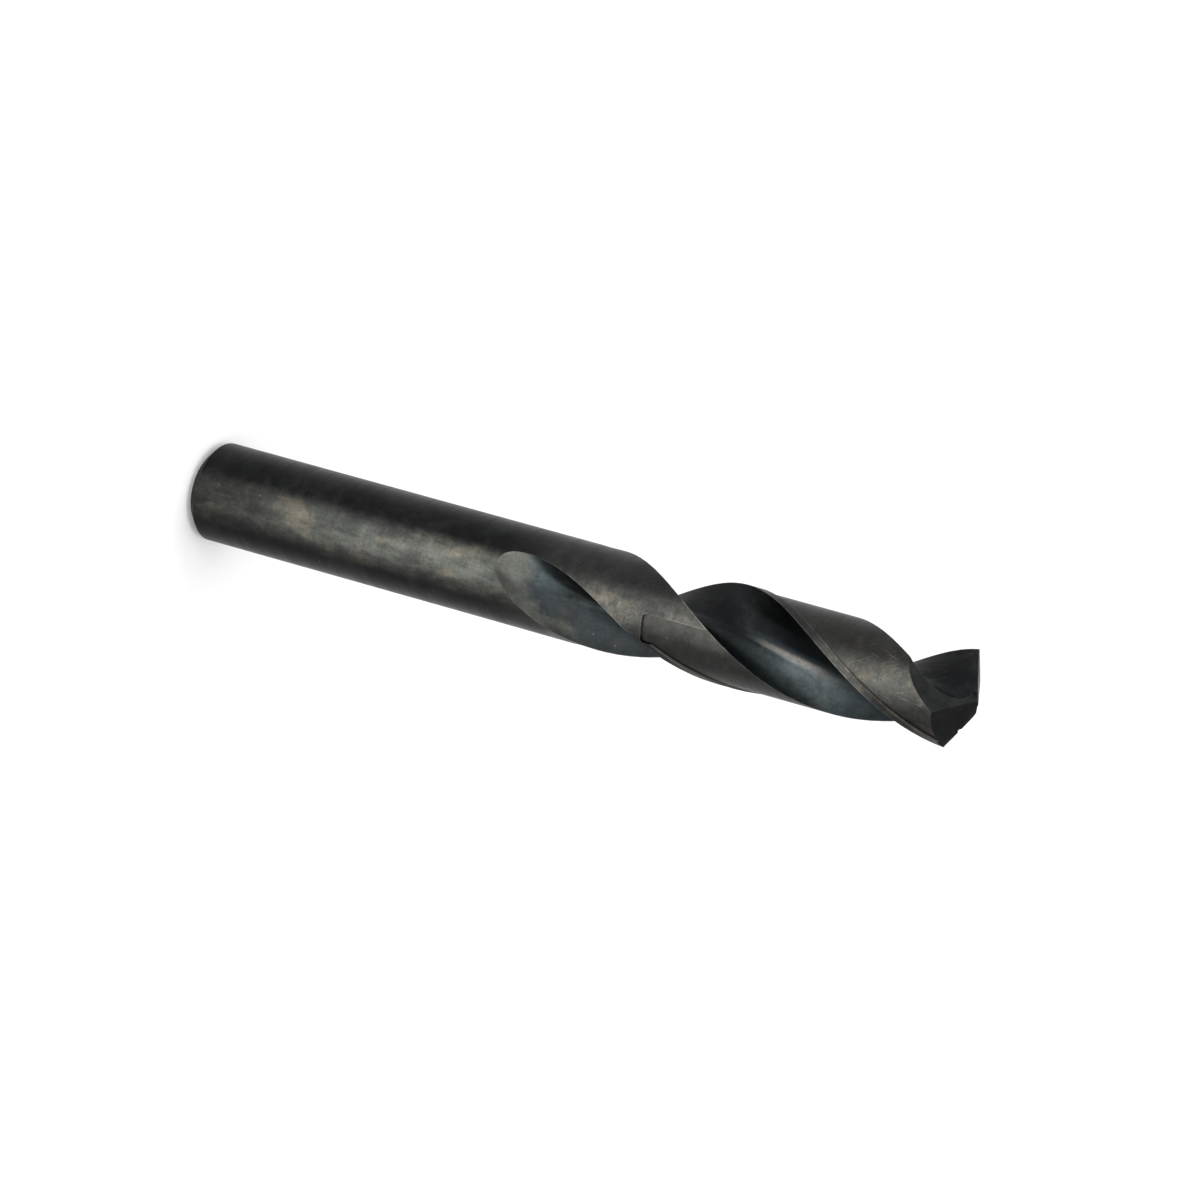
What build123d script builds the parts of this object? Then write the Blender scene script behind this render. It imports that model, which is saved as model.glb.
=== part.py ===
from build123d import *
from math import acos, asin, ceil, cos, degrees, pi, radians, sin, sqrt, tan
import os

# Stub-length twist drill bit, right-hand, standing on the end of its shank with the point up.
# Origin: centre of the shank's end face. Angles count the way the drill turns when it cuts,
# from the +X axis, and both lips run parallel to X.

# ---- driving dimensions (mm, degrees) ----
drill_diameter = 8.73
overall_length = 76.2
shank_chamfer = 0.8
back_taper = 0.0007  # narrowing of the fluted length, for each mm from the point
helix_angle = 30.5
# Point
point_angle = 135.0
lip_clearance = 17.0
web_at_point = 1.4
gash_heading = 70.5  # way the gash's floor falls most steeply, from the lip
gash_fall = 54.0
gash_above_point = 0.32  # height of its floor, carried on to the axis, over the point
gash_wall_heading = 42.0  # of its upright wall, which splits the chisel edge at the axis
nick_radius = 0.25
nick_depth = 0.09
nick_distance = 2.6  # from the axis, along the lip
# Flutes
flute_angle = 98.0  # of the bar's round that one flute takes away
heel_wall_radius = 3.6
web_taper = 0.010  # growth of half the web, for each mm from the point
flute_end_height = 31.2
wheel_radius = 22.0
wheel_lift_angle = 100.0  # way the wheel leaves the bar, from the leading edge's side
# Lands
margin_width = 0.75
body_clearance = 0.20
relief_start_height = 46.3
relief_start_margin = 0.15
relief_wheel_width = 7.0
relief_corner_radius = 0.35
# Modelling
section_step = 1.2
cut_past = 1.0  # how far cutters reach past the bar

# ---- sizes worked out from them ----
radius = drill_diameter / 2
shank_radius = radius - back_taper * (overall_length - flute_end_height) / 2
half_web = web_at_point / 2
lip_slope = 1 / tan(radians(point_angle / 2))
lead = pi * drill_diameter / tan(radians(helix_angle))
corner_angle = degrees(asin(half_web / radius))
lip_reach = sqrt(radius**2 - half_web**2)
clearance_slope = tan(radians(lip_clearance))
corner_height = overall_length - lip_reach * lip_slope + half_web * clearance_slope
outside = radius + cut_past
above_point = overall_length + cut_past
upright = (Align.CENTER, Align.CENTER, Align.MIN)


def polar(distance, angle):
    """Point of a section at a distance from the axis and an angle in degrees."""
    return (distance * cos(radians(angle)), distance * sin(radians(angle)))


def twist(height):
    """Turn of the section at a height; none at the height of the outer corners."""
    return 360 * (height - corner_height) / lead


def heights(bottom, top):
    """Even heights from bottom to top, about one section step apart."""
    steps = ceil((top - bottom) / section_step)
    return [bottom + (top - bottom) * i / steps for i in range(steps + 1)]


# ---- flute: the profile of one grinding wheel, carried up the helix ----
def rake_angle(distance):
    """Angle of the rake face at a distance from the axis, for a lip that is straight."""
    ahead = degrees(asin(half_web / distance))
    behind = (sqrt(distance**2 - half_web**2) - lip_reach) * lip_slope
    return ahead + 360 * behind / lead


wall_centre_distance = half_web + heel_wall_radius


def wall_spread(distance):
    """Angle from the flute's root to its heel wall, at a distance from the axis."""
    squares = wall_centre_distance**2 + distance**2 - heel_wall_radius**2
    return degrees(acos(squares / (2 * wall_centre_distance * distance)))


heel_angle = corner_angle + flute_angle
root_angle = heel_angle - wall_spread(radius)
root = Vector(*polar(half_web, root_angle))
root_tangent = Vector(*polar(1, root_angle + 90))
wall_end = Vector(*polar(outside, root_angle + wall_spread(outside)))
wall_centre = Vector(*polar(wall_centre_distance, root_angle))
to_middle = (root + wall_end) * 0.5 - wall_centre
wall_middle = wall_centre + to_middle.normalized() * heel_wall_radius
rake_shares = (1.0, 0.8, 0.6, 0.45, 0.32)
rake_distances = [outside] + [share * radius for share in rake_shares]
rake_points = [polar(distance, rake_angle(distance)) for distance in rake_distances]
far_corners = [polar(1.5 * outside, corner_angle + flute_angle * share) for share in (1, 0.5, 0)]

# At its shank end the flute runs out where the wheel leaves the bar.
full_lift = radius - half_web
runout_length = sqrt(full_lift * (2 * wheel_radius - full_lift))
runout_top = flute_end_height + runout_length


def flute_plane(height):
    """Plane of the wheel profile: turned by the helix, moved out by web taper and run-out."""
    taper = web_taper * (corner_height - height)
    below = max(runout_top - height, 0)
    lift = wheel_radius - sqrt(wheel_radius**2 - below**2)
    edge_shift = degrees(asin(taper * sin(radians(root_angle)) / radius))
    turn = twist(height) - edge_shift
    shift = Vector(*polar(taper, root_angle)) + Vector(*polar(lift, wheel_lift_angle))
    shift = shift.rotate(Axis.Z, turn)
    return Plane(origin=(shift.X, shift.Y, height), x_dir=(*polar(1, turn), 0), z_dir=(0, 0, 1))


with BuildPart() as flute_cutter:
    for height in heights(flute_end_height - section_step / 2, above_point):
        with BuildSketch(flute_plane(height)):
            with BuildLine():
                Spline(*rake_points, root, tangents=((-1, 0), root_tangent))
                ThreePointArc(root, wall_middle, wall_end)
                Polyline(wall_end, *far_corners, rake_points[0])
            make_face()
    loft()

# ---- body clearance: each land ground down behind its margin ----
relief_radius = radius - body_clearance
land_angle = 180 - flute_angle
margin_end = corner_angle - degrees(margin_width / radius)
footprint_angle = 2 * degrees(acos(relief_radius / radius))
footprint_last = corner_angle + twist(relief_start_height) - degrees(relief_start_margin / radius)
footprint_first = footprint_last - footprint_angle
relief_full_height = relief_start_height + relief_wheel_width


def ring_sector(first, last):
    """Ring sector between two angles, from inside the cleared radius to past the bar."""
    middle = (first + last) / 2
    inner = [polar(relief_radius - cut_past, angle) for angle in (first, middle, last)]
    outer = [polar(outside, angle) for angle in (last, middle, first)]
    with BuildSketch() as sector:
        with BuildLine():
            ThreePointArc(*inner)
            Line(inner[-1], outer[0])
            ThreePointArc(*outer)
            Line(outer[-1], inner[0])
        make_face()
    return sector.sketch


with BuildPart() as relief_footprint:
    with BuildSketch(Plane.XY.offset(relief_start_height)):
        add(ring_sector(footprint_first, footprint_last))
    extrude(amount=relief_wheel_width)
    start_edges = relief_footprint.faces().sort_by(Axis.Z)[0].edges().filter_by(GeomType.LINE)
    fillet(start_edges, relief_corner_radius)
    Cylinder(relief_radius, above_point, align=upright, mode=Mode.SUBTRACT)

with BuildPart() as relief_start:
    for height in heights(relief_start_height + 2 * relief_corner_radius, relief_full_height):
        with BuildSketch(Plane.XY.offset(height)):
            add(ring_sector(footprint_first, margin_end + twist(height)))
    loft()
    Cylinder(relief_radius, above_point, align=upright, mode=Mode.SUBTRACT)

with BuildPart() as relief_run:
    for height in heights(relief_full_height, above_point):
        last = margin_end + twist(height)
        with BuildSketch(Plane.XY.offset(height)):
            add(ring_sector(last - land_angle, last))
    loft()
    Cylinder(relief_radius, above_point, align=upright, mode=Mode.SUBTRACT)

# ---- gash behind each lip: a sloping floor over the heel, up to an upright wall at the web ----
gash_slope = tan(radians(gash_fall))
wall_slope = gash_slope * cos(radians(gash_wall_heading - gash_heading))
gash_foot = Vector(*polar(1, gash_wall_heading)) - Vector(0, 0, wall_slope)
gash_floor_normal = Vector(*polar(gash_slope, gash_heading)) + Vector(0, 0, 1)
gash_origin = (0, 0, overall_length + gash_above_point)
gash_size = 2 * drill_diameter
with BuildPart() as gash_cutter:
    with BuildSketch(Plane(origin=gash_origin, x_dir=gash_foot, z_dir=gash_floor_normal)):
        Rectangle(2 * gash_size, gash_size, align=(Align.CENTER, Align.MIN))
    extrude(amount=2 * gash_size, dir=(0, 0, 1))

# ---- drill ----
with BuildPart() as drill_bit:
    Cylinder(shank_radius, flute_end_height, align=upright)
    chamfer(drill_bit.faces().sort_by(Axis.Z)[0].edges(), shank_chamfer)
    with Locations((0, 0, flute_end_height)):
        Cone(shank_radius, radius, overall_length - flute_end_height, align=upright)
    with PolarLocations(0, 2):
        add(flute_cutter.part, mode=Mode.SUBTRACT)
        add(relief_footprint.part, mode=Mode.SUBTRACT)
        add(relief_start.part, mode=Mode.SUBTRACT)
        add(relief_run.part, mode=Mode.SUBTRACT)
    # The flanks fall away behind the lips, and cross in the chisel edge.
    for side in (1, -1):
        flank_normal = (side * lip_slope, -side * clearance_slope, 1)
        flank = Plane(origin=(0, 0, overall_length), z_dir=flank_normal)
        split(bisect_by=flank, keep=Keep.BOTTOM)
    with PolarLocations(0, 2):
        add(gash_cutter.part, mode=Mode.SUBTRACT)
    # A small nick in the lip on the -X side.
    nick_height = overall_length - nick_distance * lip_slope + half_web * clearance_slope
    nick_point = (-nick_distance, -half_web, nick_height + nick_radius - nick_depth)
    with Locations(nick_point):
        Cylinder(nick_radius, half_web, rotation=(90, 0, 0), mode=Mode.SUBTRACT)

drill_bit.part.label = "drill_bit"
os.makedirs("parts", exist_ok=True)
export_step(drill_bit.part, "parts/drill_bit.step")
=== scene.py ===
import math

import bmesh
import bpy
from bpy.props import FloatProperty, FloatVectorProperty, PointerProperty
from mathutils import Matrix, Vector


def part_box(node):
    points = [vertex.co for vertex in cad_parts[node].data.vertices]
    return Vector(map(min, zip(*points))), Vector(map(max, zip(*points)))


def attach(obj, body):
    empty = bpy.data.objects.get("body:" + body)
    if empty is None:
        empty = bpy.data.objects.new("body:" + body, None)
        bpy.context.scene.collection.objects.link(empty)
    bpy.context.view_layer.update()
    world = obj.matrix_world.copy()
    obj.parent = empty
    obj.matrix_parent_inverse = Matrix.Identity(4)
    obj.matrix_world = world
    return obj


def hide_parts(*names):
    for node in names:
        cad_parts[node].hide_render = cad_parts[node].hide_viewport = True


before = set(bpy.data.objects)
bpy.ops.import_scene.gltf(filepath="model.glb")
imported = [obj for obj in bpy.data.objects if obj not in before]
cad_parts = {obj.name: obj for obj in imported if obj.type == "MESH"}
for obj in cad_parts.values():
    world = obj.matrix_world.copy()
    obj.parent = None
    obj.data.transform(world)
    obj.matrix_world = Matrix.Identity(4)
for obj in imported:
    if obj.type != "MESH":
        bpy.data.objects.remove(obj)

bl_info = {
    "name": "Black Oxide Twist Drill",
    "version": (1, 0, 0),
    "blender": (4, 5, 0),
    "location": "View3D > Sidebar > Drill",
    "description": "Dresses a stub twist drill in ground, black-oxided steel and sets up a "
                   "plain studio",
    "category": "Object",
}

NODE = "drill_bit"
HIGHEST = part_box(NODE)[1]  # far corner of the drill's box: its radius and its height
MM = 0.001
PER_MM = 1000.0  # object coordinates are metres; the patterns count in millimetres

# Names of the surfaces, each with a material of its own
SURFACES = ("ground_bar", "cleared_land", "land_step", "flute", "point", "shank_end")


# ---- sizes and colours a user would change ----
def length(name, description, default):
    return FloatProperty(name=name, description=description, default=default, min=0.0,
                         unit="LENGTH", precision=5)


def angle(name, description, degrees):
    return FloatProperty(name=name, description=description, default=math.radians(degrees),
                         unit="ROTATION")


def share(name, description, default):
    return FloatProperty(name=name, description=description, default=default,
                         min=0.0, max=1.0, subtype="FACTOR")


def number(name, description, default):
    return FloatProperty(name=name, description=description, default=default)


def colour(name, description, default):
    return FloatVectorProperty(name=name, description=description, default=default, size=3,
                               subtype="COLOR", min=0.0, max=1.0)


def spot(name, description, in_mm):
    return FloatVectorProperty(name=name, description=description, size=3, subtype="TRANSLATION",
                               unit="LENGTH", default=[value * MM for value in in_mm])


class DrillShapeSettings(bpy.types.PropertyGroup):
    """Where the surfaces of the drill lie, for their patterns and materials"""

    helix_angle: angle("Helix Angle", "Angle between a flute's edge and the axis", 30.5)
    chamfer: length("Shank Chamfer", "Chamfer at the end of the shank", 0.8 * MM)
    lips_below_top: length("Lips Below Top", "How far the lips' outer corners lie below the point",
                           1.57 * MM)
    land_depth: length("Land Depth", "How far the cleared lands lie inside the bar", 0.2 * MM)
    land_start: length("Land Start", "Height where the cleared lands start", 46.3 * MM)
    point_reach: length("Point Reach", "How far the point's ground facets reach down", 6.0 * MM)
    surface_play: length("Surface Play", "How far a facet may lie from its surface", 0.04 * MM)
    heel_turn: angle("Heel Turn", "Turn about the axis from a lip, over its flute, to the heel",
                     115)
    crease_angle: angle("Crease Angle", "Faces that meet at more than this keep a sharp edge", 22)


class DrillFinishSettings(bpy.types.PropertyGroup):
    """Colours and marks of the black oxide"""

    oxide: colour("Oxide", "Clean black oxide on the ground bar", (0.0090, 0.0094, 0.0099))
    point_oxide: colour("Point Oxide", "Clean black oxide on the point", (0.0205, 0.0218, 0.0214))
    # deep oxide: painted shade on the rake faces, and the dark of the pits and grooves
    deep_oxide_and_shade: colour("Deep Oxide And Shade", "Thickest oxide, along the rake faces",
                       (0.0062, 0.0066, 0.0072))
    worked_oxide: colour("Worked Oxide", "Thinner oxide along the fluted bar",
                         (0.0220, 0.0223, 0.0218))
    land_oxide: colour("Land Oxide", "Thin oxide on the cleared lands", (0.0240, 0.0242, 0.0232))
    earth: colour("Earth", "Brown blots on the lands", (0.045, 0.036, 0.030))
    # pale oxide of random blots, and the colour of the painted highlight bands along the bar and
    # lands
    pale_oxide_and_highlight: colour("Pale Oxide And Highlight", "Thin oxide where the bar is rubbed", (0.054, 0.056, 0.050))
    # straw also tints the painted highlight bands, as well as the scuffs
    straw: colour("Straw", "Golden brown tint in rubbed oxide", (0.077, 0.068, 0.054))
    slate: colour("Slate", "Blue grey oxide on the flutes' floors", (0.0070, 0.0094, 0.0106))
    # painted light: the heel side of the flutes, paler where it is lit, between given heights
    lit_heel_slate: colour("Lit Heel Slate", "Blue grey oxide along the heel", (0.034, 0.0415, 0.0440))
    # painted highlight: the glow beside the wheel's mark and on the run-out's floor
    highlight_slate: colour("Highlight Slate", "Palest blue grey, beside the wheel's mark",
                       (0.059, 0.073, 0.076))
    # painted highlight along the flute's root, standing in for a rounded crease catching the light
    root_highlight: colour("Root Highlight", "Pale grey over the flute's root, where the wheel rubbed",
                      (0.100, 0.096, 0.090))
    # painted light: the run-out's floor, paler where it is lit
    lit_run_out_slate: colour("Lit Run-out Slate", "Blue grey oxide where the flutes run out",
                      (0.0185, 0.0220, 0.0243))
    brown: colour("Brown", "Brown blots in the flutes", (0.024, 0.0245, 0.0235))
    bloom: colour("Bloom", "Pale, dull oxide where the flutes run out", (0.064, 0.066, 0.059))
    fringe: colour("Fringe", "Yellow grey border of the bloom", (0.100, 0.104, 0.091))
    # bare steel at specks, scratches and worn edges; along the edges it is also painted highlight
    bare_steel_and_glint: colour("Bare Steel And Glint", "Steel showing at specks and worn edges", (0.17, 0.17, 0.16))
    # middle of the painted highlight bands, turned towards the key and fill panels
    highlight_azimuth: angle("Highlight Azimuth", "Middle of the rubbed bands around the bar", 120)
    # reach of the worn edges and their painted highlight
    edge_wear_and_glint: length("Edge Wear And Glint", "How far wear reaches from an edge", 0.10 * MM)
    line_depth: length("Line Depth", "Depth of the grinding lines", 0.004 * MM)
    anisotropy: share("Anisotropy", "How far the grinding lines stretch a highlight", 0.6)
    edge_tint: share("Edge Tint", "Reflection of the bar at a glancing angle", 0.88)
    flute_edge_tint: share("Flute Edge Tint", "Reflection of the flutes at a glancing angle", 0.6)
    scuff_ring: spot("Scuff Ring", "Middle of the ring scuffed into the bar", (-1.6, 4.05, 42.1))
    scuff_patch: spot("Scuff Patch", "Middle of the patch scuffed beside the ring",
                      (-1.9, 3.9, 45.0))
    scuff_size: length("Scuff Size", "Radius of the scuffs", 0.85 * MM)


class DrillStudioSettings(bpy.types.PropertyGroup):
    """Camera, floor and light"""

    camera_aim: spot("Camera Aim", "Point that the camera looks at", (-0.2, -0.07, 39.7))
    camera_distance: length("Camera Distance", "From the aim to the camera", 599.1 * MM)
    camera_azimuth: angle("Camera Azimuth", "Direction of the camera around the drill", 109.77)
    camera_elevation: angle("Camera Elevation", "Height of the camera over the aim", 28.36)
    camera_roll: angle("Camera Roll", "Turn of the camera about its own axis", 105.6)
    lens: FloatProperty(name="Lens", description="Focal length on a 36 mm sensor",
                        default=213.0, unit="CAMERA")
    floor_width: length("Floor Width", "Side of the square floor", 8.0)
    floor_colour: colour("Floor Colour", "Pale floor", (0.93, 0.93, 0.93))
    sky_strength: number("Sky Strength", "Even light from all round", 0.5)
    overhead_strength: number("Overhead Strength", "Soft light from straight above", 1.5)
    key_azimuth: angle("Key Azimuth", "Direction of the key panels around the drill", 110)
    key_radiance: number("Key Radiance", "Brightness of the key panels, white being 1", 3.0)
    fill_azimuth: angle("Fill Azimuth", "Direction of the fill panel around the drill", 300)
    fill_radiance: number("Fill Radiance", "Brightness of the fill panel, white being 1", 2.0)


# ---- ramps ----
# A ramp is two limits of a value, then what it gives below the first and above the second,
# which are 0 and 1 where nothing is said. Heights are in mm from the shank's end and radii in
# mm from the axis. Places across a flute are in degrees from its lip, the way the drill turns,
# and places beside the mark of the wheel's edge in degrees from that mark.
STREAKS_BROAD = (0.3, 0.7)
# BAND_REACH, BAND_RAGGED and BAND_HEIGHT shape the painted highlight bands, which grow brighter up
# the bar
BAND_REACH = (0.82, 1.0)  # cosine of the turn from the middle of a band
BAND_RAGGED = (0.38, 0.60, 0.42)
BAND_HEIGHT = (4.0, 26.0, 0.72, 1.12)
SCRATCH_THIN = (0.64, 0.74)
SCRATCH_SPREAD = (0.62, 0.78)
EDGE_OPEN = (0.45, 0.95, 1.0, 0.0)
EDGE_BROKEN = (0.36, 0.62, 0.25)
LINE_SHEEN = (0.3, 0.7, 0.95, 1.05)

# the painted highlight bands on the lands: weak low down, fading towards the point
LAND_HIGHLIGHT_RISES = (50.0, 66.0, 0.2, 0.78)
LAND_HIGHLIGHT_FADES = (69.0, 74.0, 1.0, 0.55)
LAND_EARTH = (50.0, 66.0, 0.15, 0.5)
LAND_SCRATCHES = (60.0, 68.0, -0.1, 0.2)

BAR_WORKED = (31.0, 38.0)
# the painted highlight bands on the bar fade where the lands start
BAR_HIGHLIGHT = (36.0, 46.0, 1.0, 0.6)
BAR_DULL = (34.0, 41.0)
BAR_DULL_BLOTS = (0.44, 0.60, 0.0, 0.55)
SCUFF_GRIT = (0.40, 0.60, 0.0, 0.4)

# painted shade: the rake side of a flute's floor is darkest, turning to slate
FLOOR_ACROSS = (12.0, 45.0)
# where the painted light on the heels lies, across and up the flute
HEEL_ACROSS = (84.0, 106.0)
HEEL_RISES = (53.0, 58.5, 0.3, 1.0)
HEEL_FADES = (57.0, 69.0, 1.0, 0.05)
MARK_RISES = (55.5, 59.5)
MARK_FADES = (59.0, 65.0, 1.0, 0.05)
# painted glow beside the wheel's mark and painted highlight over the root
PAINTED_GLOW_BESIDE = ((-1.5, 1.5), (6.0, 42.0, 1.0, 0.0))
PAINTED_GLOW_RAGGED = (-0.18, 0.1, 0.35, 1.0)
ROOT_HIGHLIGHT_BESIDE = ((-28.0, 1.0), (4.0, 16.0, 1.0, 0.0))
ROOT_HIGHLIGHT_RISES = (53.5, 58.0)
ROOT_HIGHLIGHT_FADES = (60.3, 63.6, 1.0, 0.0)
PITS_BESIDE = (4.0, 9.0, 0.8, 0.0)
FLUTE_SCRATCHES = (66.0, 71.0, -0.2, 0.12)
# ramps of the run-out, with its painted light and painted glow
RUN_OUT_FADES = (40.0, 47.0, 1.0, 0.0)
RUN_OUT_ACROSS = (22.0, 36.0)
RUN_OUT_GLOW = ((31.0, 42.0), (52.0, 78.0, 1.0, 0.0))
SHALLOW_RADIUS = (2.9, 3.8)
FRINGE_FADES = (33.5, 41.0, 1.0, 0.0)
FRINGE_ACROSS = (72.0, 96.0)
BLOOM_FADES = (33.2, 35.4, 1.0, 0.0)
BLOOM_RADIUS = (2.2, 3.4)

# ---- patterns and shares ----
# A share is how far a mark covers the oxide under it.
PATCH_MASKS = (  # mask of the patches, shift of its noise, limits of its noise
    ("Bloom", 0.0, 0.42, 0.66),
    ("Straw", 31.0, 0.48, 0.68),
    ("Earth", 57.0, 0.46, 0.66),
)
BAND_STRETCH = (1.0, 1.0, 0.25)
SCRATCH_STRETCH = (12.0, 3.0, 0.35)
SCRATCH_WAYS = ((0.2, 0.0), (-0.45, 40.0))  # tilt in radians, shift of the noise
SCRATCH_SHARE = 0.3
BAR_SCRATCHES = -0.02  # how many, against the ramps of the lands' and flutes' scratches
# how far the painted highlight bands cover the oxide
HIGHLIGHT_SHARE = 0.85
BAR_BLOOM = 0.12
POINT_BLOOM = 0.15
SCUFF_RAGGED = 1.6  # mm that the noise moves a scuff's rim
SCUFF_RIM = (0.8, 1.9)  # where a scuff fades out, in scuff sizes
SCUFF_HOLLOW = (0.5, 0.9)  # where the ring starts, in scuff sizes
HEEL_RAGGED = 30.0  # degrees that the noise moves the heel's edge
MARK_CLIMB = 3.54  # the wheel's mark drifts across the flute, in degrees for each mm
MARK_OFFSET = -124.1  # place of the mark across the flute, carried down to the shank's end
# shares of the painted glow and of the painted highlight over the root
PAINTED_GLOW_SHARE = 0.75
ROOT_HIGHLIGHT_SHARE = 0.8
GROOVES = ((3.0, 0.45), (15.0, 0.3))  # place beside the wheel's mark, strength
GROOVE_WIDTH = (0.2, 1.0)
BROWN_RUN_OUT = 0.55
BROWN_FLUTE = 0.25
BLOOM_RAGGED = 2.6  # mm that the noise moves the bloom's edge across
CAP_RAGGED = 3.0  # mm that the noise moves the bloom's edge along
SPECK_SHARE = 0.7
EDGE_SHARE = 0.4
GRAIN_DEPTH = 0.9
ROUGHNESS_PLAY = 0.03
BUMP_STRENGTH = 0.35
ACROSS_THE_LINES = 0.25  # part of a turn that lays a stretched highlight across the lines


# ---- shader nodes ----
def place(tree, kind, values=None, **settings):
    """New node in a tree, with its settings and the values or links of its inputs."""
    node = tree.nodes.new(kind)
    for name, setting in settings.items():
        setattr(node, name, setting)
    for name, value in (values or {}).items():
        feed(tree, node.inputs[name], value)
    return node


def feed(tree, socket, value):
    """Link a socket to another node's output, or set its value."""
    if isinstance(value, bpy.types.NodeSocket):
        tree.links.new(value, socket)
    elif hasattr(value, "__len__") and socket.type == "RGBA" and len(value) == 3:
        socket.default_value = (*value, 1.0)
    else:
        socket.default_value = value


def maths(tree, operation, *values):
    return place(tree, "ShaderNodeMath", dict(enumerate(values)), operation=operation).outputs[0]


def times(tree, product, *factors):
    """Product of values."""
    for factor in factors:
        product = maths(tree, "MULTIPLY", product, factor)
    return product


def remap(tree, value, low, high, to_low=0.0, to_high=1.0):
    """Smooth step of a value between two limits."""
    node = place(tree, "ShaderNodeMapRange",
                 {"Value": value, "From Min": low, "From Max": high,
                  "To Min": to_low, "To Max": to_high}, interpolation_type="SMOOTHSTEP")
    return node.outputs["Result"]


def window(tree, value, rise, fall):
    """Product of two ramps of one value."""
    return times(tree, remap(tree, value, *rise), remap(tree, value, *fall))


def blend_colours(tree, amount, first, second):
    node = place(tree, "ShaderNodeMix", data_type="RGBA")
    feed(tree, node.inputs["Factor"], amount)
    feed(tree, node.inputs[6], first)
    feed(tree, node.inputs[7], second)
    return node.outputs[2]


def stretched(tree, vector, scale):
    node = place(tree, "ShaderNodeVectorMath", {0: vector, 1: scale}, operation="MULTIPLY")
    return node.outputs[0]


def shifted(tree, vector, shift):
    node = place(tree, "ShaderNodeVectorMath", {0: vector, 1: (shift, shift, shift)},
                 operation="ADD")
    return node.outputs[0]


def parts_of(tree, vector):
    return place(tree, "ShaderNodeSeparateXYZ", {0: vector}).outputs


def turned(tree, vector, angle, axis):
    node = place(tree, "ShaderNodeVectorRotate", {"Vector": vector, "Angle": angle},
                 rotation_type=axis)
    return node.outputs[0]


def noise(tree, vector, scale, detail=3.0, roughness=0.55, distortion=0.0):
    node = place(tree, "ShaderNodeTexNoise",
                 {"Vector": vector, "Scale": scale, "Detail": detail, "Roughness": roughness,
                  "Distortion": distortion})
    return node.outputs["Fac"]


def uneven(tree, vector, scale, **settings):
    """Noise about zero."""
    return maths(tree, "SUBTRACT", noise(tree, vector, scale, **settings), 0.5)


def new_group(name, inputs, outputs):
    """Shader node group with its sockets: the tree, what it is given and what it results in."""
    tree = bpy.data.node_groups.new(name, "ShaderNodeTree")
    for direction, sockets in (("INPUT", inputs), ("OUTPUT", outputs)):
        for socket_name, kind in sockets.items():
            tree.interface.new_socket(name=socket_name, in_out=direction,
                                      socket_type="NodeSocket" + kind)
    return tree, tree.nodes.new("NodeGroupInput").outputs, tree.nodes.new("NodeGroupOutput").inputs


def helix_follow_group():
    """Coordinates that climb with the flutes, and the place across a flute in degrees."""
    tree, given, result = new_group(
        "Helix Follow", {"Vector": "Vector", "Lead": "Float", "Corner Height": "Float"},
        {"Vector": "Vector", "Radius": "Float", "Across": "Float"})
    height = parts_of(tree, given["Vector"])["Z"]
    climbed = maths(tree, "SUBTRACT", height, given["Corner Height"])
    back = times(tree, maths(tree, "DIVIDE", climbed, given["Lead"]), -2 * math.pi)
    unwound = turned(tree, given["Vector"], back, "Z_AXIS")
    level = stretched(tree, unwound, (1.0, 1.0, 0.0))
    reach = place(tree, "ShaderNodeVectorMath", {0: level}, operation="LENGTH")
    across = parts_of(tree, level)
    turn = maths(tree, "ARCTAN2", across["Y"], across["X"])
    folded = maths(tree, "FLOORED_MODULO", maths(tree, "DEGREES", turn), 180.0)
    feed(tree, result["Vector"], unwound)
    feed(tree, result["Radius"], reach.outputs["Value"])
    feed(tree, result["Across"], folded)
    return tree


def grinding_lines_group():
    """Fine lines left by a grinding wheel: their height, and broader streaks of sheen."""
    tree, given, result = new_group("Grinding Lines", {"Vector": "Vector", "Stretch": "Vector"},
                                    {"Height": "Float", "Streaks": "Float"})
    lines = stretched(tree, given["Vector"], given["Stretch"])
    broad = noise(tree, lines, scale=0.23, detail=3.0, roughness=0.6)
    feed(tree, result["Height"], noise(tree, lines, scale=1.0, detail=4.0, roughness=0.65))
    feed(tree, result["Streaks"], remap(tree, broad, *STREAKS_BROAD))
    return tree


def oxide_patches_group():
    """Uneven growth of the oxide: three masks of soft, ragged patches."""
    tree, given, result = new_group("Oxide Patches", {"Vector": "Vector", "Size": "Float"},
                                    {"Bloom": "Float", "Straw": "Float", "Earth": "Float"})
    for name, shift, low, high in PATCH_MASKS:
        patches = noise(tree, shifted(tree, given["Vector"], shift),
                        scale=maths(tree, "DIVIDE", 1.0, given["Size"]),
                        detail=5.0, roughness=0.62, distortion=0.4)
        feed(tree, result[name], remap(tree, patches, low, high))
    return tree


def specks_group():
    """Scattered pin-point marks, few and small."""
    tree, given, result = new_group(
        "Specks", {"Vector": "Vector", "Spacing": "Float", "Size": "Float", "Share": "Float"},
        {"Mask": "Float"})
    density = maths(tree, "DIVIDE", 1.0, given["Spacing"])
    cells = place(tree, "ShaderNodeTexVoronoi", {"Vector": given["Vector"], "Scale": density})
    near = times(tree, cells.outputs["Distance"], given["Spacing"])
    dot = maths(tree, "LESS_THAN", near, given["Size"])
    chance = place(tree, "ShaderNodeSeparateColor", {0: cells.outputs["Color"]})
    chosen = maths(tree, "LESS_THAN", chance.outputs[0], given["Share"])
    feed(tree, result["Mask"], times(tree, dot, chosen))
    return tree


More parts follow.
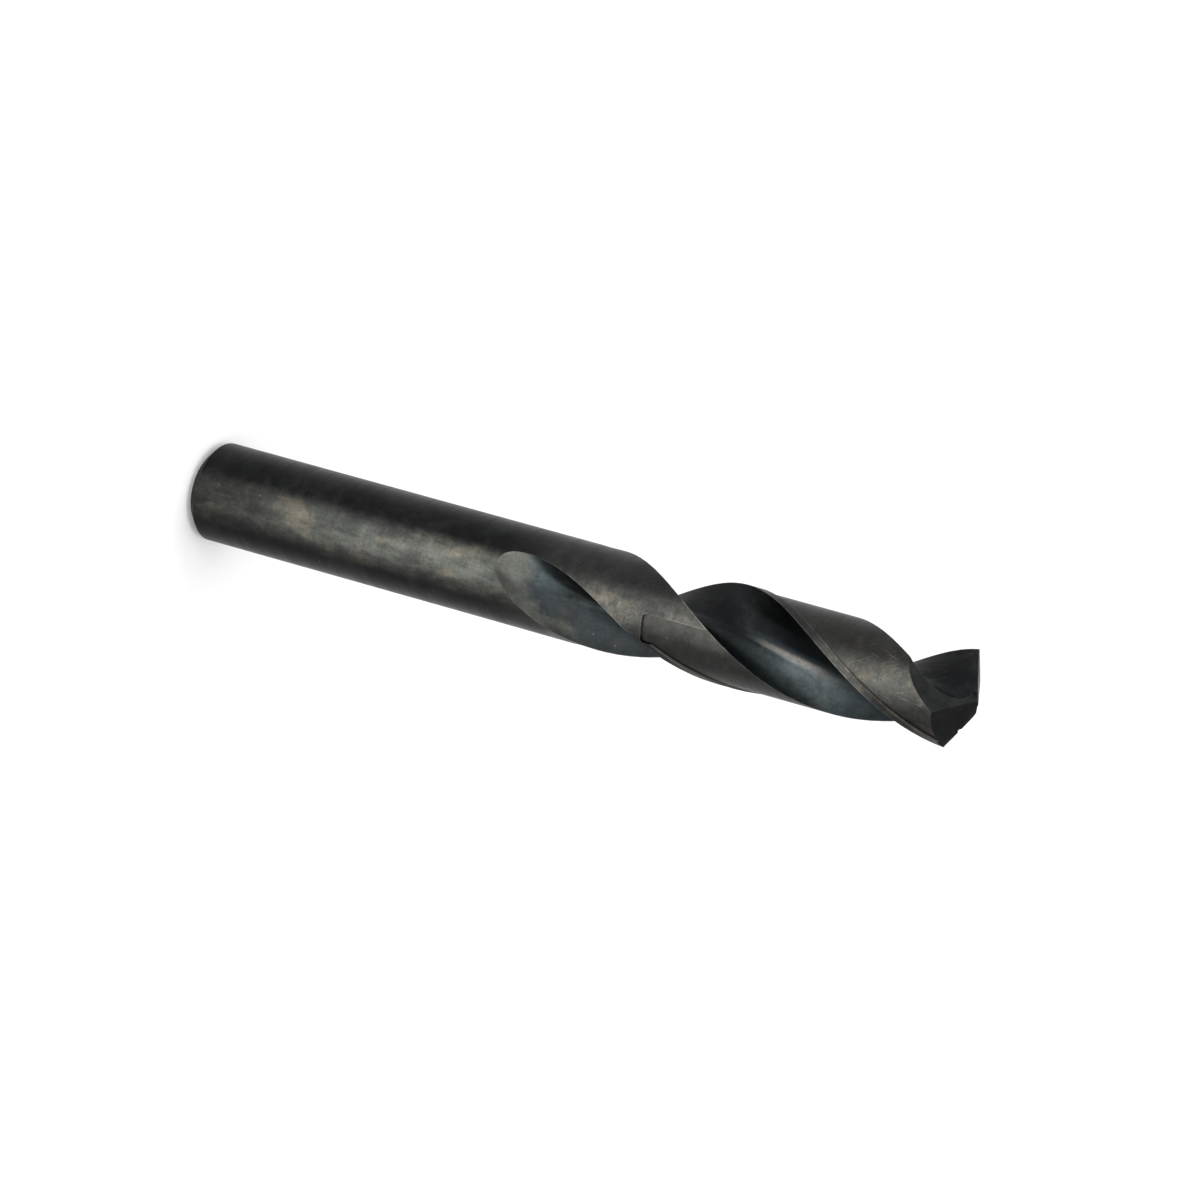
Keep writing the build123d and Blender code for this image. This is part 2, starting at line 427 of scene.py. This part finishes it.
def highlight_bands_group():
    """Soft bands along both sides of the bar, brighter up the bar, with ragged edges: a painted
    highlight where the lamps light it.
    """
    tree, given, result = new_group("Highlight Bands", {"Vector": "Vector", "Azimuth": "Float"},
                                    {"Mask": "Float"})
    parts = parts_of(tree, given["Vector"])
    turn = maths(tree, "ARCTAN2", parts["Y"], parts["X"])
    facing = maths(tree, "COSINE", maths(tree, "SUBTRACT", turn, given["Azimuth"]))
    band = remap(tree, maths(tree, "ABSOLUTE", facing), *BAND_REACH)
    along = stretched(tree, given["Vector"], BAND_STRETCH)
    ragged = noise(tree, along, scale=0.8, detail=8.0, roughness=0.68)
    feed(tree, result["Mask"], times(tree, band, remap(tree, ragged, *BAND_RAGGED),
                                     remap(tree, parts["Z"], *BAND_HEIGHT)))
    return tree


def oxide_grain_group():
    """Fine unevenness of the oxide, as a factor about one."""
    tree, given, result = new_group("Oxide Grain", {"Vector": "Vector", "Depth": "Float"},
                                    {"Value": "Float"})
    fine = noise(tree, given["Vector"], scale=4.5, detail=3.0, roughness=0.7)
    broad = noise(tree, given["Vector"], scale=0.9, detail=4.0, roughness=0.6)
    both = maths(tree, "SUBTRACT", maths(tree, "ADD", fine, broad), 1.0)
    feed(tree, result["Value"], maths(tree, "MULTIPLY_ADD", both, given["Depth"], 1.0))
    return tree


def scratches_group():
    """Sparse, thin, straight scratches in two directions."""
    tree, given, result = new_group("Scratches", {"Vector": "Vector", "Share": "Float"},
                                    {"Mask": "Float"})
    masks = []
    for tilt, shift in SCRATCH_WAYS:
        tilted = turned(tree, given["Vector"], tilt, "Y_AXIS")
        lines = shifted(tree, stretched(tree, tilted, SCRATCH_STRETCH), shift)
        fine = noise(tree, lines, scale=1.0, detail=2.0, roughness=0.5)
        masks.append(remap(tree, fine, *SCRATCH_THIN))
    spread = maths(tree, "ADD", noise(tree, given["Vector"], scale=0.35, detail=2.0),
                   given["Share"])
    feed(tree, result["Mask"], times(tree, maths(tree, "MAXIMUM", *masks),
                                     remap(tree, spread, *SCRATCH_SPREAD)))
    return tree


def worn_and_glinting_edges_group():
    """Thin pale lines along the convex edges: worn edges and painted highlight where the edges
    catch the light.
    """
    tree, given, result = new_group("Worn And Glinting Edges", {"Vector": "Vector", "Reach": "Float"},
                                    {"Mask": "Float"})
    inside = place(tree, "ShaderNodeAmbientOcclusion", {"Distance": given["Reach"]},
                   inside=True, samples=8)
    near = remap(tree, inside.outputs["AO"], *EDGE_OPEN)
    broken = remap(tree, noise(tree, given["Vector"], scale=0.9, detail=4.0), *EDGE_BROKEN)
    feed(tree, result["Mask"], times(tree, near, broken))
    return tree


GROUP_MAKERS = {
    "Helix Follow": helix_follow_group, "Grinding Lines": grinding_lines_group,
    "Oxide Patches": oxide_patches_group, "Specks": specks_group,
    "Highlight Bands": highlight_bands_group, "Worn And Glinting Edges": worn_and_glinting_edges_group,
    "Oxide Grain": oxide_grain_group, "Scratches": scratches_group,
}


def use(tree, group, **values):
    """A shared group placed in a material, and built the first time it is used."""
    node_tree = bpy.data.node_groups.get(group) or GROUP_MAKERS[group]()
    node = place(tree, "ShaderNodeGroup", node_tree=node_tree)
    for name, value in values.items():
        feed(tree, node.inputs[name.replace("_", " ")], value)
    return node.outputs


# ---- materials ----
LOOKS = {
    # surface: (stretch of the grinding lines, whether they climb with the helix,
    #           size of the patches in mm, roughness, turn of the anisotropy, metal)
    "ground_bar": ((0.3, 0.3, 9.0), False, 2.6, 0.42, 0.0, 1.0),
    "cleared_land": ((0.3, 0.3, 9.0), False, 2.2, 0.44, 0.0, 1.0),
    "land_step": ((0.3, 0.3, 9.0), False, 2.2, 0.55, 0.0, 0.3),
    "flute": ((9.0, 9.0, 0.25), True, 2.0, 0.40, 0.17, 0.93),
    "point": ((2.0, 9.0, 2.0), False, 1.4, 0.50, 0.0, 1.0),
    "shank_end": ((0.4, 0.4, 8.0), False, 1.8, 0.48, 0.0, 1.0),
}


def with_highlight_bands(tree, finish, in_mm, patches, look, amount):
    """A colour with painted highlight bands, pale and partly golden, along both sides of the bar.
    """
    bands = use(tree, "Highlight Bands", Vector=in_mm, Azimuth=finish.highlight_azimuth)["Mask"]
    # painted highlight: pale oxide, partly straw, in bands towards the lamps
    pale_oxide_and_highlight = times(tree, bands, amount)
    look = blend_colours(tree, times(tree, pale_oxide_and_highlight, HIGHLIGHT_SHARE), look, finish.pale_oxide_and_highlight)
    return blend_colours(tree, times(tree, pale_oxide_and_highlight, patches["Straw"]), look, finish.straw)


def scratched(tree, finish, in_mm, look, amount):
    """A colour with scratches, many or few."""
    mask = use(tree, "Scratches", Vector=in_mm, Share=amount)["Mask"]
    return blend_colours(tree, times(tree, mask, SCRATCH_SHARE), look, finish.bare_steel_and_glint)


def scuffed(tree, finish, in_mm, look):
    """A colour with a scuffed ring and a scuffed patch beside it."""
    size = finish.scuff_size * PER_MM
    ragged = uneven(tree, in_mm, scale=1.6, detail=5.0)
    grit = remap(tree, noise(tree, in_mm, scale=5.0, detail=2.0), *SCUFF_GRIT)
    for middle, hollow in ((finish.scuff_ring, True), (finish.scuff_patch, False)):
        apart = place(tree, "ShaderNodeVectorMath",
                      {0: in_mm, 1: tuple(PER_MM * value for value in middle)},
                      operation="DISTANCE").outputs["Value"]
        near = maths(tree, "MULTIPLY_ADD", ragged, SCUFF_RAGGED, apart)
        mask = remap(tree, near, *(size * reach for reach in SCUFF_RIM), 1.0, 0.0)
        if hollow:
            inner = remap(tree, near, *(size * reach for reach in SCUFF_HOLLOW))
            mask = times(tree, mask, inner)
        look = blend_colours(tree, times(tree, mask, grit), look, finish.straw)
    return look


def land_colour(tree, finish, in_mm, helix, patches):
    """Thin brownish oxide, with painted highlight bands that are weaker where the clearance
    starts.
    """
    height = parts_of(tree, in_mm)["Z"]
    # painted highlight bands on the lands
    look = with_highlight_bands(tree, finish, in_mm, patches, finish.land_oxide,
                       window(tree, height, LAND_HIGHLIGHT_RISES, LAND_HIGHLIGHT_FADES))
    earth = times(tree, patches["Earth"], remap(tree, height, *LAND_EARTH))
    look = blend_colours(tree, earth, look, finish.earth)
    return scratched(tree, finish, in_mm, look, remap(tree, height, *LAND_SCRATCHES))


def bar_colour(tree, finish, in_mm, helix, patches):
    """Black bar with painted highlight bands, pale and partly golden, worked thinner and scuffed
    beside the flutes.
    """
    height = parts_of(tree, in_mm)["Z"]
    look = blend_colours(tree, remap(tree, height, *BAR_WORKED), finish.oxide,
                         finish.worked_oxide)
    look = blend_colours(tree, times(tree, patches["Bloom"], BAR_BLOOM), look, finish.pale_oxide_and_highlight)
    # painted highlight bands along the bar
    look = with_highlight_bands(tree, finish, in_mm, patches, look, remap(tree, height, *BAR_HIGHLIGHT))
    blots = noise(tree, in_mm, scale=1.4, detail=6.0, roughness=0.7)
    dull = times(tree, remap(tree, blots, *BAR_DULL_BLOTS), remap(tree, height, *BAR_DULL))
    look = blend_colours(tree, dull, look, finish.worked_oxide)
    look = scuffed(tree, finish, in_mm, look)
    return scratched(tree, finish, in_mm, look, BAR_SCRATCHES)


def step_colour(tree, finish, in_mm, helix, patches):
    """Walls of the cleared lands, as dark as the lands themselves: their brown is painted light
    that hides the walls' shade.
    """
    return blend_colours(tree, patches["Bloom"], finish.earth, finish.land_oxide)


def wheel_mark_and_highlights(tree, finish, in_mm, look, across, height, ragged):
    """A colour with the mark of the wheel, its pits and two grooves, and painted highlight: a pale
    glow beside the mark and a pale line over the root.
    """
    line = maths(tree, "MULTIPLY_ADD", height, MARK_CLIMB, MARK_OFFSET)
    beside = maths(tree, "SUBTRACT", across, line)
    span = window(tree, height, MARK_RISES, MARK_FADES)
    # painted glow on the heel side of the mark
    painted_mark_glow = times(tree, window(tree, beside, *PAINTED_GLOW_BESIDE), PAINTED_GLOW_SHARE, span,
                   remap(tree, ragged, *PAINTED_GLOW_RAGGED))
    look = blend_colours(tree, painted_mark_glow, look, finish.highlight_slate)

    # painted highlight over the flute's root, where a rounded crease would catch the light
    painted_root_highlight = times(tree, window(tree, beside, *ROOT_HIGHLIGHT_BESIDE), remap(tree, height, *ROOT_HIGHLIGHT_RISES),
                  remap(tree, height, *ROOT_HIGHLIGHT_FADES), ROOT_HIGHLIGHT_SHARE)
    look = blend_colours(tree, painted_root_highlight, look, finish.root_highlight)

    pits = use(tree, "Specks", Vector=in_mm, Spacing=0.5, Size=0.07, Share=0.3)["Mask"]
    away = maths(tree, "ABSOLUTE", beside)
    beaten = times(tree, remap(tree, away, *PITS_BESIDE), span)
    look = blend_colours(tree, times(tree, pits, beaten), look, finish.deep_oxide_and_shade)
    for lies_at, strength in GROOVES:
        away = maths(tree, "ABSOLUTE", maths(tree, "SUBTRACT", beside, lies_at))
        groove = times(tree, remap(tree, away, *GROOVE_WIDTH, strength, 0.0), span)
        look = blend_colours(tree, groove, look, finish.deep_oxide_and_shade)
    return look


def run_out(tree, finish, helix, patches, look, height, ragged):
    """A colour that turns slate, brown and then pale where the flute runs out; the paler slate of
    its lit floor and the glow beside it are painted light.
    """
    across, radius = helix["Across"], helix["Radius"]
    near = remap(tree, height, *RUN_OUT_FADES)
    # painted light on the run-out's floor
    lit = times(tree, near, remap(tree, across, *RUN_OUT_ACROSS))
    look = blend_colours(tree, lit, look, finish.lit_run_out_slate)
    # painted glow beside it
    painted_run_out_glow = times(tree, near, window(tree, across, *RUN_OUT_GLOW))
    look = blend_colours(tree, painted_run_out_glow, look, finish.highlight_slate)
    brown = maths(tree, "MULTIPLY_ADD", near, BROWN_RUN_OUT, BROWN_FLUTE)
    look = blend_colours(tree, times(tree, patches["Straw"], brown), look, finish.brown)

    # bloom where the flute is shallow, with a yellowish fringe
    reach = maths(tree, "MULTIPLY_ADD", ragged, BLOOM_RAGGED, radius)
    fringed = times(tree, remap(tree, height, *FRINGE_FADES),
                    remap(tree, across, *FRINGE_ACROSS))
    fringe = times(tree, remap(tree, reach, *SHALLOW_RADIUS), fringed)
    look = blend_colours(tree, fringe, look, finish.fringe)
    cap = maths(tree, "MULTIPLY_ADD", ragged, CAP_RAGGED, height)
    bloom = times(tree, remap(tree, cap, *BLOOM_FADES), remap(tree, reach, *BLOOM_RADIUS))
    return blend_colours(tree, bloom, look, finish.bloom)


def flute_colour(tree, finish, in_mm, helix, patches):
    """Rake face painted deep black as its shade, slate floor, heel painted paler where it is lit,
    the wheel's mark with its painted highlight, and the run-out.
    """
    height, across = parts_of(tree, in_mm)["Z"], helix["Across"]
    ragged = uneven(tree, in_mm, scale=0.7, detail=6.0, roughness=0.6)
    # painted shade on the rake face, turning to the slate floor
    look = blend_colours(tree, remap(tree, across, *FLOOR_ACROSS), finish.deep_oxide_and_shade,
                         finish.slate)
    # painted light on the heel, with a ragged edge
    edge = maths(tree, "MULTIPLY_ADD", ragged, HEEL_RAGGED, across)
    heel = times(tree, remap(tree, edge, *HEEL_ACROSS), remap(tree, height, *HEEL_FADES),
                 remap(tree, height, *HEEL_RISES))
    look = blend_colours(tree, heel, look, finish.lit_heel_slate)
    look = wheel_mark_and_highlights(tree, finish, in_mm, look, across, height, ragged)
    look = scratched(tree, finish, in_mm, look, remap(tree, height, *FLUTE_SCRATCHES))
    return run_out(tree, finish, helix, patches, look, height, ragged)


def point_colour(tree, finish, in_mm, helix, patches):
    """Plain black oxide with a few paler blots."""
    return blend_colours(tree, times(tree, patches["Bloom"], POINT_BLOOM),
                         finish.point_oxide, finish.pale_oxide_and_highlight)


COLOURING = {"ground_bar": bar_colour, "cleared_land": land_colour, "land_step": step_colour,
             "flute": flute_colour, "point": point_colour, "shank_end": point_colour}


def steel_material(surface, shape, finish):
    """Ground, black-oxided steel as it looks on one of the drill's surfaces."""
    stretch, climbs, patch, roughness, turn, metal = LOOKS[surface]
    material = bpy.data.materials.new("black_oxide_" + surface)
    material.use_nodes = True
    tree = material.node_tree
    shader = tree.nodes["Principled BSDF"]
    in_metres = place(tree, "ShaderNodeTexCoord").outputs["Object"]
    in_mm = stretched(tree, in_metres, (PER_MM, PER_MM, PER_MM))
    helix = None
    if climbs:
        helix = use(tree, "Helix Follow", Vector=in_mm, Lead=lead_of(shape) * PER_MM,
                    Corner_Height=(HIGHEST.z - shape.lips_below_top) * PER_MM)
    lines = use(tree, "Grinding Lines", Vector=helix["Vector"] if climbs else in_mm,
                Stretch=stretch)
    patches = use(tree, "Oxide Patches", Vector=in_mm, Size=patch)
    specks = use(tree, "Specks", Vector=in_mm, Spacing=1.1, Size=0.05, Share=0.35)
    edges = use(tree, "Worn And Glinting Edges", Vector=in_mm, Reach=finish.edge_wear_and_glint)
    grain = use(tree, "Oxide Grain", Vector=in_mm, Depth=GRAIN_DEPTH)["Value"]

    look = COLOURING[surface](tree, finish, in_mm, helix, patches)
    sheen = times(tree, remap(tree, lines["Height"], *LINE_SHEEN), grain)
    scaled = place(tree, "ShaderNodeVectorMath", {0: look, "Scale": sheen}, operation="SCALE")
    # specks, and edge lines that are partly wear and partly painted highlight
    marks = maths(tree, "MAXIMUM", times(tree, specks["Mask"], SPECK_SHARE),
                  times(tree, edges["Mask"], EDGE_SHARE))
    bump = place(tree, "ShaderNodeBump", {"Strength": BUMP_STRENGTH, "Distance": finish.line_depth,
                                          "Height": lines["Height"]})
    tangent = place(tree, "ShaderNodeTangent", direction_type="RADIAL", axis="Z")
    tint = finish.flute_edge_tint if surface == "flute" else finish.edge_tint
    for name, value in {
            "Base Color": blend_colours(tree, marks, scaled.outputs[0], finish.bare_steel_and_glint),
            "Roughness": remap(tree, lines["Streaks"], 0.0, 1.0,
                               roughness - ROUGHNESS_PLAY, roughness + ROUGHNESS_PLAY),
            "Metallic": metal,
            "Specular Tint": (tint, tint, tint),
            "Anisotropic": finish.anisotropy,
            "Anisotropic Rotation": ACROSS_THE_LINES + turn,
            "Normal": bump.outputs[0],
            "Tangent": tangent.outputs[0]}.items():
        feed(tree, shader.inputs[name], value)
    return material


# ---- the drill ----
END_FACING = -0.3  # most of a facet's normal up the axis, at the shank's end
POINT_FACING = 0.54  # least of it up the axis, at the point
BAR_FACING = 0.97  # least of it away from the axis, on the round bar
LAND_FACING = 0.9  # least of it away from the axis, on a cleared land
JOIN_REACH = 0.0002 * MM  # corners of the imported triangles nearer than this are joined


def add_object(name, data):
    """New object in the scene."""
    made = bpy.data.objects.new(name, data)
    bpy.context.scene.collection.objects.link(made)
    return made


def lead_of(shape):
    """Height in which the flutes make a full turn."""
    return 2 * math.pi * HIGHEST.x / math.tan(shape.helix_angle)


def surface_of(face, shape):
    """Which of the drill's surfaces a facet belongs to, from where it lies and how it faces."""
    middle = face.calc_center_median()
    out = Vector((middle.x, middle.y, 0.0))
    nearest = min(Vector((v.co.x, v.co.y)).length for v in face.verts)
    outward = face.normal.dot(out.normalized()) if out.length else 0.0
    climbed = (middle.z - HIGHEST.z + shape.lips_below_top) / lead_of(shape)
    across = (math.atan2(middle.y, middle.x) - 2 * math.pi * climbed) % math.pi
    bar_radius = HIGHEST.x - shape.surface_play
    if middle.z < shape.chamfer and face.normal.z < END_FACING:
        return "shank_end"
    if outward > BAR_FACING and nearest > bar_radius:
        return "ground_bar"
    if middle.z > shape.land_start and nearest > bar_radius - shape.land_depth:
        if outward > LAND_FACING:
            return "cleared_land"
        if across > shape.heel_turn:
            return "land_step"
    if middle.z > HIGHEST.z - shape.point_reach and face.normal.z > POINT_FACING:
        return "point"
    return "flute"


def closed_copy(node):
    """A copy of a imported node's mesh with its loose triangles joined."""
    bm = bmesh.new()
    bm.from_mesh(node.data)
    bmesh.ops.remove_doubles(bm, verts=bm.verts, dist=JOIN_REACH)
    bmesh.ops.dissolve_degenerate(bm, edges=bm.edges, dist=JOIN_REACH)
    bm.normal_update()
    return bm


def dress_drill(shape, finish):
    """The drill as one shown piece, with a material for each of its surfaces."""
    bm = closed_copy(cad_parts[NODE])
    for edge in bm.edges:
        edge.smooth = len(edge.link_faces) == 2 and edge.calc_face_angle() < shape.crease_angle
    for face in bm.faces:
        face.material_index = SURFACES.index(surface_of(face, shape))
        face.smooth = True
    mesh = bpy.data.meshes.new("twist_drill")
    bm.to_mesh(mesh)
    bm.free()
    for surface in SURFACES:
        mesh.materials.append(steel_material(surface, shape, finish))
    drill = add_object("twist_drill", mesh)
    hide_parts(NODE)
    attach(drill, "root")


# ---- studio ----
SENSOR_WIDTH = 36.0
NEAREST_SEEN = 0.01
DRILL_MIDDLE = Vector((0, 0, 40 * MM))  # what the panels shine at
OVERHEAD_SPREAD = math.radians(60)
OVERHEAD_AZIMUTH = math.radians(60)
OVERHEAD_ELEVATION = math.radians(80)

# name, distance from the axis and height of the near and far edges, width, turn, brightness
KEY_PANELS = (
    ("key_low_near", 0.018, 0.060, 0.0005, 0.0005, 0.045, 8.0, 1.25),
    ("key_low_far", 0.060, 0.220, 0.0005, 0.0005, 0.13, 8.0, 1.25),
    ("key_upright", 0.40, 0.40, 0.0, 0.30, 0.80, 0.0, 1.0),
    ("key_side", 0.40, 0.40, 0.08, 0.30, 0.40, -85.0, 0.6),
)
FILL_PANEL = ("fill", 0.8, 0.8, 0.05, 0.45, 0.5)


def direction(azimuth, elevation):
    """Unit vector towards a place around the drill."""
    return Vector((math.cos(azimuth) * math.cos(elevation),
                   math.sin(azimuth) * math.cos(elevation), math.sin(elevation)))


def add_lamp(light):
    """Lamp that lights the drill and isn't seen itself."""
    lamp = add_object(light.name, light)
    lamp.visible_camera = False
    return lamp


def add_panel(name, azimuth, radiance, near, far, low, high, width):
    """Flat soft panel between two edges, each a distance from the axis and a height."""
    outward = direction(azimuth, 0.0)
    first = outward * near + Vector((0, 0, low))
    last = outward * far + Vector((0, 0, high))
    across = outward.cross(Vector((0, 0, 1)))
    back = across.cross(last - first).normalized()
    if back.dot((first + last) / 2 - DRILL_MIDDLE) < 0:
        back.negate()
    light = bpy.data.lights.new(name, "AREA")
    light.shape = "RECTANGLE"
    light.size = width
    light.size_y = (last - first).length
    light.energy = radiance * math.pi * light.size * light.size_y
    side = back.cross(last - first).normalized() * -1
    axes = Matrix((side, (last - first).normalized(), back)).transposed()
    add_lamp(light).matrix_world = Matrix.Translation((first + last) / 2) @ axes.to_4x4()


def build_floor(studio):
    bm = bmesh.new()
    bmesh.ops.create_grid(bm, x_segments=1, y_segments=1, size=studio.floor_width / 2)
    mesh = bpy.data.meshes.new("floor")
    bm.to_mesh(mesh)
    bm.free()
    floor = add_object("floor", mesh)
    material = bpy.data.materials.new("pale_floor")
    material.use_nodes = True
    shader = material.node_tree.nodes["Principled BSDF"]
    feed(material.node_tree, shader.inputs["Base Color"], studio.floor_colour)
    shader.inputs["Roughness"].default_value = 1.0
    shader.inputs["Specular IOR Level"].default_value = 0.0
    mesh.materials.append(material)


def build_sky(studio):
    world = bpy.data.worlds.new("plain_sky")
    world.use_nodes = True
    background = world.node_tree.nodes["Background"]
    background.inputs["Color"].default_value = (1.0, 1.0, 1.0, 1.0)
    background.inputs["Strength"].default_value = studio.sky_strength
    bpy.context.scene.world = world


def build_lamps(studio):
    overhead = bpy.data.lights.new("overhead", "SUN")
    overhead.energy = studio.overhead_strength
    overhead.angle = OVERHEAD_SPREAD
    lamp = add_lamp(overhead)
    lamp.location = (0, 0, 1)
    toward = direction(OVERHEAD_AZIMUTH, OVERHEAD_ELEVATION)
    lamp.rotation_euler = toward.to_track_quat("Z", "Y").to_euler()
    for name, *edges, turn, brightness in KEY_PANELS:
        add_panel(name, studio.key_azimuth + math.radians(turn),
                  studio.key_radiance * brightness, *edges)
    name, *edges = FILL_PANEL
    add_panel(name, studio.fill_azimuth, studio.fill_radiance, *edges)


def build_camera(studio):
    aim = Vector(studio.camera_aim)
    toward = direction(studio.camera_azimuth, studio.camera_elevation)
    data = bpy.data.cameras.new("camera")
    data.lens = studio.lens
    data.sensor_width = SENSOR_WIDTH
    data.clip_start = NEAREST_SEEN
    camera = add_object("camera", data)
    level = toward.to_track_quat("Z", "Y").to_matrix()
    rolled = (level @ Matrix.Rotation(studio.camera_roll, 3, "Z")).to_4x4()
    camera.matrix_world = Matrix.Translation(aim + toward * studio.camera_distance) @ rolled
    bpy.context.scene.camera = camera


# ---- operators and panel ----
class DRILL_OT_dress(bpy.types.Operator):
    """Make the drill's shown mesh and give each of its surfaces its finish"""

    bl_idname = "drill.dress"
    bl_label = "Dress Drill"

    def execute(self, context):
        dress_drill(context.scene.drill_shape, context.scene.drill_finish)
        return {"FINISHED"}


class DRILL_OT_stage(bpy.types.Operator):
    """Set up the floor, the lamps and the camera"""

    bl_idname = "drill.stage"
    bl_label = "Set Up Studio"

    def execute(self, context):
        studio = context.scene.drill_studio
        for build in (build_floor, build_sky, build_lamps, build_camera):
            build(studio)
        context.scene.view_settings.view_transform = "Standard"
        return {"FINISHED"}


class DRILL_PT_panel(bpy.types.Panel):
    """Everything the drill is made with"""

    bl_label = "Twist Drill"
    bl_space_type = "VIEW_3D"
    bl_region_type = "UI"
    bl_category = "Drill"

    def draw(self, context):
        for settings in (context.scene.drill_shape, context.scene.drill_finish,
                         context.scene.drill_studio):
            column = self.layout.column(align=True)
            for name in settings.__annotations__:
                column.prop(settings, name)
        self.layout.operator(DRILL_OT_dress.bl_idname)
        self.layout.operator(DRILL_OT_stage.bl_idname)


CLASSES = (DrillShapeSettings, DrillFinishSettings, DrillStudioSettings,
           DRILL_OT_dress, DRILL_OT_stage, DRILL_PT_panel)


def register():
    for cls in CLASSES:
        bpy.utils.register_class(cls)
    bpy.types.Scene.drill_shape = PointerProperty(type=DrillShapeSettings)
    bpy.types.Scene.drill_finish = PointerProperty(type=DrillFinishSettings)
    bpy.types.Scene.drill_studio = PointerProperty(type=DrillStudioSettings)


def unregister():
    del bpy.types.Scene.drill_studio
    del bpy.types.Scene.drill_finish
    del bpy.types.Scene.drill_shape
    for cls in reversed(CLASSES):
        bpy.utils.unregister_class(cls)


def main():
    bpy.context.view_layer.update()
    register()
    bpy.ops.drill.dress()
    bpy.ops.drill.stage()


if __name__ == "__main__":
    main()
